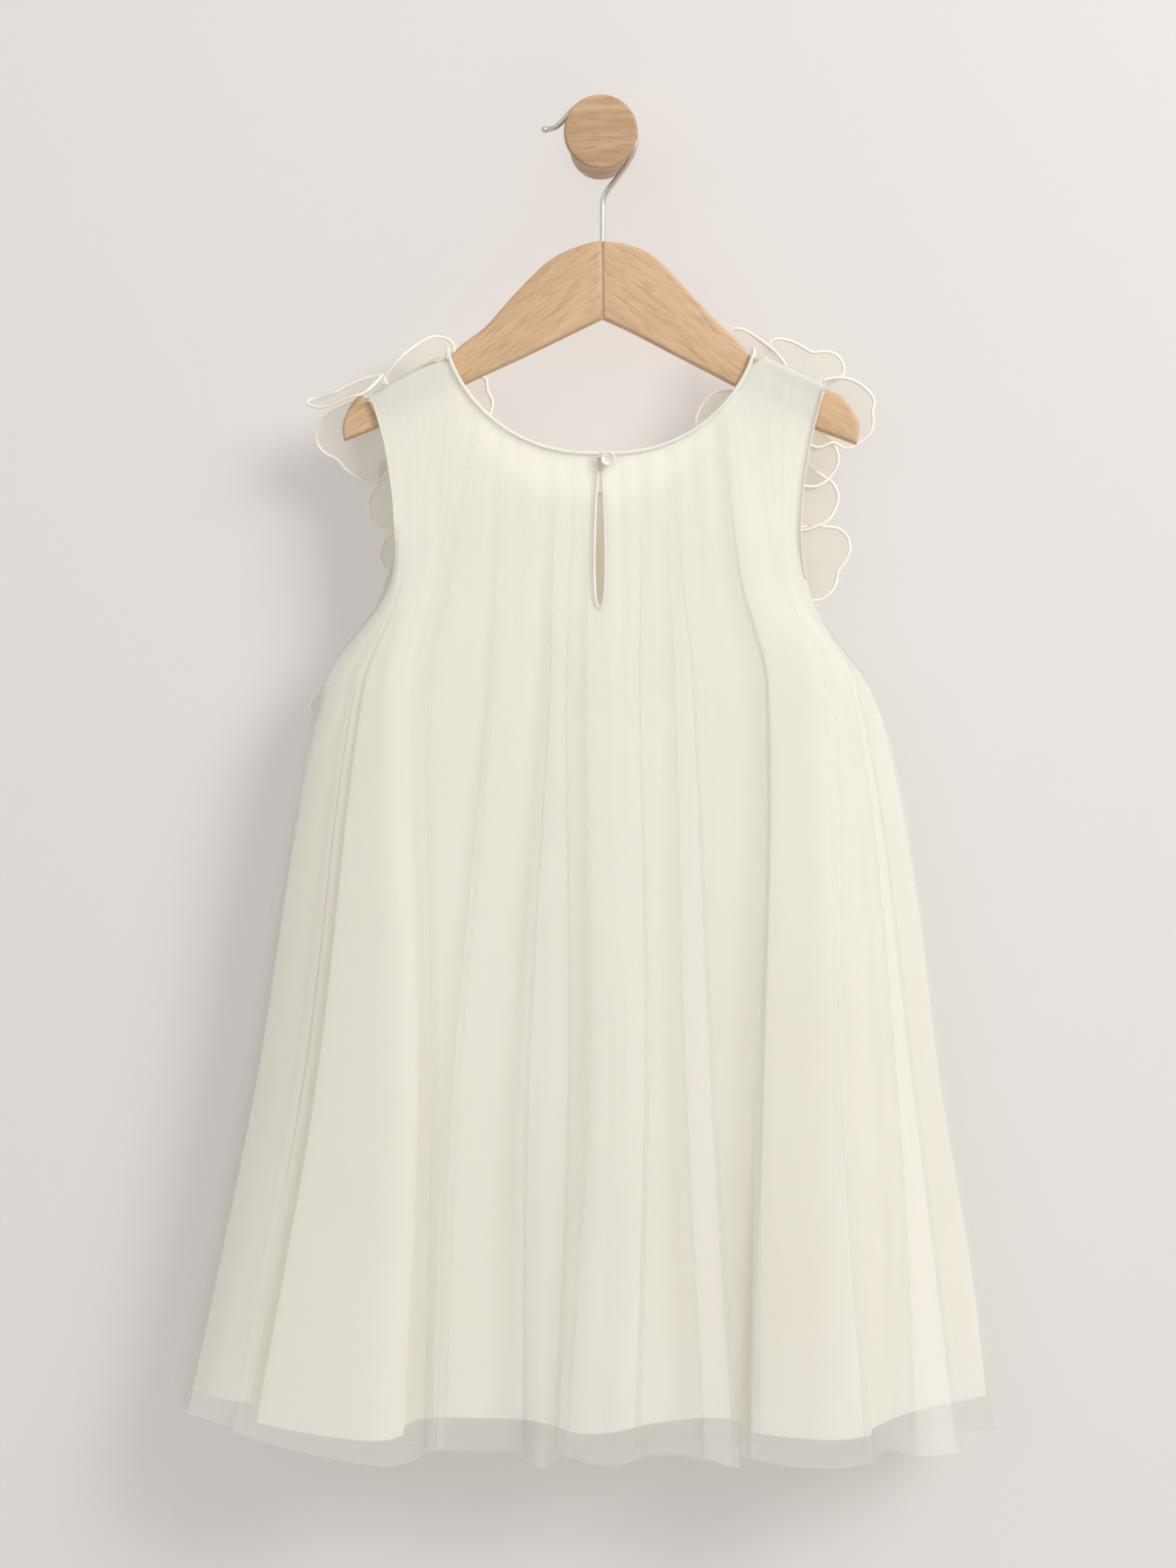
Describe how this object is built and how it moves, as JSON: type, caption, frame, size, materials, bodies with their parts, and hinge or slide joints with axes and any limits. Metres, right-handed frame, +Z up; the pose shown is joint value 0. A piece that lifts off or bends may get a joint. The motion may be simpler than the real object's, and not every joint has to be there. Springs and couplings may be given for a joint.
{
  "type": "flower girl dress on a hanger",
  "caption": "Child's sleeveless ivory flower girl dress in two layers of tulle over a satin lining, organza petals at the armholes, hung on a wooden hanger from a wall peg.",
  "frame": {"origin": "centre of the peg's flat back face, on the wall plane", "axes": "+Z up, +Y from the dress into the wall, +X to the right when the dress is seen from the room"},
  "size_m": [0.4825, 0.104, 0.7941],
  "materials": {
    "lining_satin": "ivory satin with a soft sheen",
    "tulle": "fine sheer ivory tulle",
    "petal_organza": "sheer ivory organza with a raised cream cord round its edge",
    "button_plastic": "glossy cream",
    "hanger_wood": "light beech, satin lacquer",
    "peg_wood": "light beech, satin lacquer",
    "hook_steel": "bright wire"
  },
  "bodies": {
    "root": {"back_lining": "lining_satin", "back_tulle_inner": "tulle", "back_tulle_outer": "tulle", "front_lining": "lining_satin", "front_tulle_inner": "tulle", "front_tulle_outer": "tulle", "neck_binding": "lining_satin", "button": "button_plastic", "button_loop": "lining_satin", "petal_knot": "petal_organza", "petal_left_over_arm": "petal_organza", "petal_left_shoulder": "petal_organza", "petal_left_cap": "petal_organza", "petal_left_armhole_upper": "petal_organza", "petal_left_armhole_lower": "petal_organza", "petal_left_neck": "petal_organza", "petal_left_side": "petal_organza", "petal_right_shoulder_inner": "petal_organza", "petal_right_shoulder_outer": "petal_organza", "petal_right_cap": "petal_organza", "petal_right_armhole_upper": "petal_organza", "petal_right_armhole_middle": "petal_organza", "petal_right_armhole_lower": "petal_organza", "petal_right_neck": "petal_organza", "hanger_arm_left": "hanger_wood", "hanger_arm_right": "hanger_wood", "hook_wire": "hook_steel", "wall_peg": "peg_wood"}
  },
  "joints": []
}
